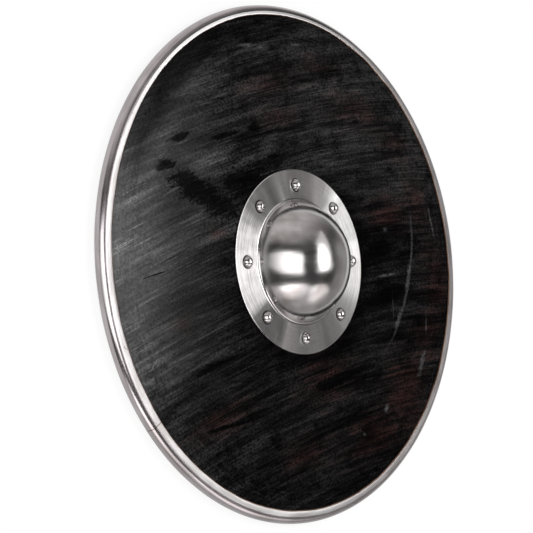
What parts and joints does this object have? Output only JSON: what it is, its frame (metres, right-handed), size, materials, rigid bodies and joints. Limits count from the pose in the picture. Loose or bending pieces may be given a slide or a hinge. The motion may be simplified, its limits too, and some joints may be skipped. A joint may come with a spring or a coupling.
{
  "type": "round shield",
  "caption": "Round wooden shield with a half-round steel rim, a domed steel boss riveted over the hand hole, and a grip bar across its back.",
  "frame": {"origin": "below the shield's centre, on the plane that the back of the rim lies on", "axes": "+Z out of the face, along the boss; +Y in the plane of the shield, towards the top rivet and along the grip"},
  "size_m": [0.61, 0.61, 0.0745],
  "materials": {
    "board_wood": "black stain, brushed on and worn through to red-brown wood in places",
    "rim_steel": "polished by hand, slightly wavy",
    "boss_steel": "satin dome, flange brushed in circles",
    "rivet_steel": "domed and polished, lightly hammered",
    "grip_wood": "dark stain, worn brown by the hand"
  },
  "bodies": {
    "root": {"board": "board_wood", "rim": "rim_steel", "boss": "boss_steel", "rivet_1": "rivet_steel", "rivet_2": "rivet_steel", "rivet_3": "rivet_steel", "rivet_4": "rivet_steel", "rivet_5": "rivet_steel", "rivet_6": "rivet_steel", "rivet_7": "rivet_steel", "rivet_8": "rivet_steel", "grip": "grip_wood"}
  },
  "joints": []
}
